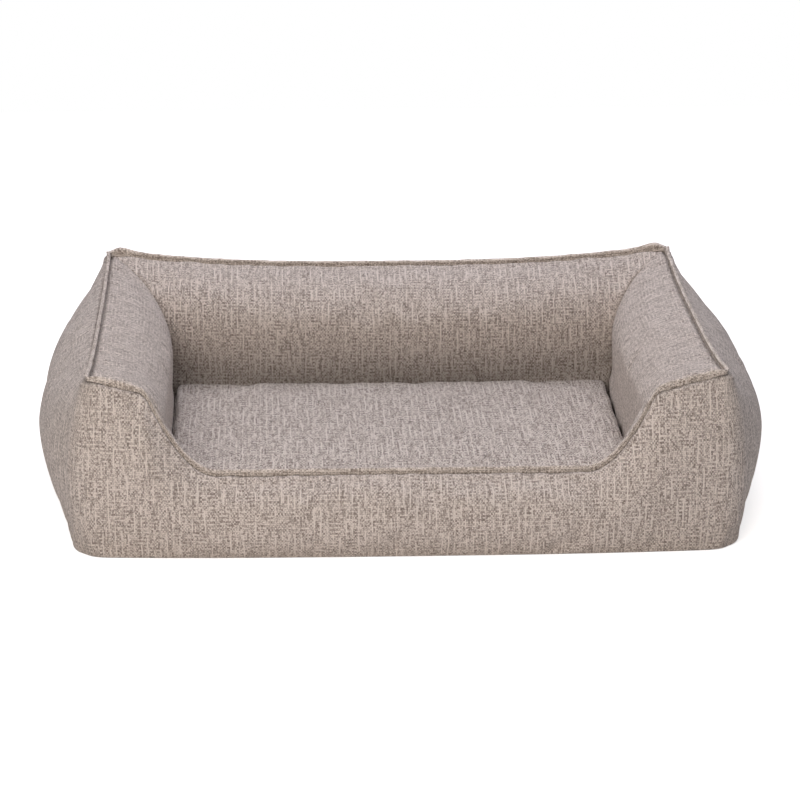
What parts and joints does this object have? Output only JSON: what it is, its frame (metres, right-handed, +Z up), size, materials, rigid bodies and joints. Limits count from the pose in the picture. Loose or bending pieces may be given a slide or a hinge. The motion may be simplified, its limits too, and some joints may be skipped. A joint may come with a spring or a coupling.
{
  "type": "dog bed",
  "caption": "Rectangular dog bed with a padded raised rim, a low curved front sill and a lift-out mattress with a zipped cover.",
  "frame": {"origin": "on the floor, under the middle of the bed's whole outline", "axes": "+Z up, the low front sill faces -Y, +X to the right of someone who looks at the front"},
  "size_m": [1, 0.77, 0.248],
  "materials": {
    "rim_cloth": "chunky melange upholstery weave, taupe, beige and lilac-grey yarns",
    "mattress_cloth": "the same melange weave on the mattress cover",
    "binding_cloth": "folded and topstitched strip of the same weave",
    "base_cloth": "black nonwoven with anti-slip dots",
    "foam": "open-cell polyurethane foam",
    "memory_foam": "viscoelastic foam",
    "zip_tape": "woven polyester tape",
    "zip_coil": "polyester monofilament coil",
    "zip_metal": "nickel-plated zinc, satin"
  },
  "bodies": {
    "frame": {"base_panel": "base_cloth", "front_outer_panel": "rim_cloth", "right_outer_panel": "rim_cloth", "back_outer_panel": "rim_cloth", "left_outer_panel": "rim_cloth", "front_inner_panel": "rim_cloth", "right_inner_panel": "rim_cloth", "back_inner_panel": "rim_cloth", "left_inner_panel": "rim_cloth", "front_binding": "binding_cloth", "right_binding": "binding_cloth", "back_binding": "binding_cloth", "left_binding": "binding_cloth", "front_foam_core": "foam", "right_foam_core": "foam", "back_foam_core": "foam", "left_foam_core": "foam", "frame_zip_upper_tape": "zip_tape", "frame_zip_lower_tape": "zip_tape", "frame_zip_upper_coil": "zip_coil", "frame_zip_lower_coil": "zip_coil", "frame_zip_stops": "zip_metal"},
    "frame_zip_slider": {"frame_zip_slider": "zip_metal"},
    "frame_zip_pull": {"frame_zip_pull": "zip_metal"},
    "mattress": {"mattress_bottom_panel": "mattress_cloth", "mattress_side_band": "mattress_cloth", "mattress_top_panel": "mattress_cloth", "mattress_support_foam": "foam", "mattress_memory_foam": "memory_foam", "mattress_zip_upper_tape": "zip_tape", "mattress_zip_lower_tape": "zip_tape", "mattress_zip_upper_coil": "zip_coil", "mattress_zip_lower_coil": "zip_coil", "mattress_zip_stops": "zip_metal"},
    "mattress_zip_slider": {"mattress_zip_slider": "zip_metal"},
    "mattress_zip_pull": {"mattress_zip_pull": "zip_metal"}
  },
  "joints": [
    {"name": "mattress_lift", "type": "slide", "parent": "frame", "child": "mattress", "axis": [0, 0, 1], "range_m": [0, 0.3]},
    {"name": "frame_zip_slide", "type": "slide", "parent": "frame", "child": "frame_zip_slider", "axis": [1, 0, 0], "range_m": [-0.5824, 0]},
    {"name": "frame_zip_pull_flip", "type": "hinge", "parent": "frame_zip_slider", "child": "frame_zip_pull", "pos_m": [0.2945, 0.35169, 0.02004], "axis": [0, -0.5146, -0.8574], "range_deg": [0, 170]},
    {"name": "mattress_zip_slide", "type": "slide", "parent": "mattress", "child": "mattress_zip_slider", "axis": [1, 0, 0], "range_m": [-0.4824, 0]},
    {"name": "mattress_zip_pull_flip", "type": "hinge", "parent": "mattress_zip_slider", "child": "mattress_zip_pull", "pos_m": [0.2445, 0.2026, 0.023], "axis": [0, 0, -1], "range_deg": [0, 170]}
  ]
}
